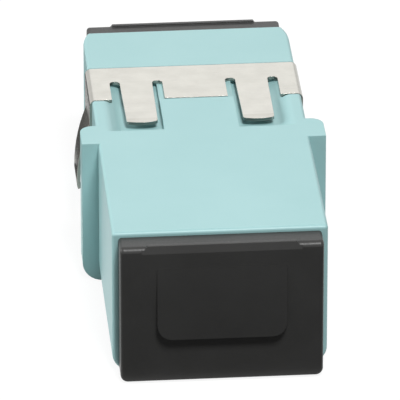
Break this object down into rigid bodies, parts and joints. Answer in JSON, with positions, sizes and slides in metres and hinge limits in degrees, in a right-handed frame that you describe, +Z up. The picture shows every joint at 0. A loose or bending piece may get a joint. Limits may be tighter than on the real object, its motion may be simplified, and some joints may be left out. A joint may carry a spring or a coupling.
{
  "type": "duplex fibre coupler module",
  "caption": "Flanged duplex fibre optic coupler with a sprung steel panel clip, split alignment sleeves inside and a pull-out dust cap in each end.",
  "frame": {"origin": "on the base, below the middle of the body and half way between the two ports", "axes": "+Y from the front ports to the rear ports, +X across the ports, +Z up to the latch side and the clip's tongues"},
  "size_m": [0.0148, 0.0312, 0.0094],
  "materials": {
    "housing_aqua": "fine satin moulding, aqua",
    "cap_black": "soft satin moulding, black",
    "clip_steel": "bright rolled spring steel",
    "sleeve_zirconia": "polished white ceramic"
  },
  "bodies": {
    "coupler": {"front_housing": "housing_aqua", "rear_housing": "housing_aqua", "sleeve_retainer": "housing_aqua", "alignment_sleeve_left": "sleeve_zirconia", "alignment_sleeve_right": "sleeve_zirconia", "spring_clip": "clip_steel"},
    "front_cap": {"front_dust_cap": "cap_black"},
    "rear_cap": {"rear_dust_cap": "cap_black"}
  },
  "joints": [
    {"name": "front_cap_pull", "type": "slide", "parent": "coupler", "child": "front_cap", "axis": [0, -1, 0], "range_m": [0, 0.008]},
    {"name": "rear_cap_pull", "type": "slide", "parent": "coupler", "child": "rear_cap", "axis": [0, 1, 0], "range_m": [0, 0.008]}
  ]
}
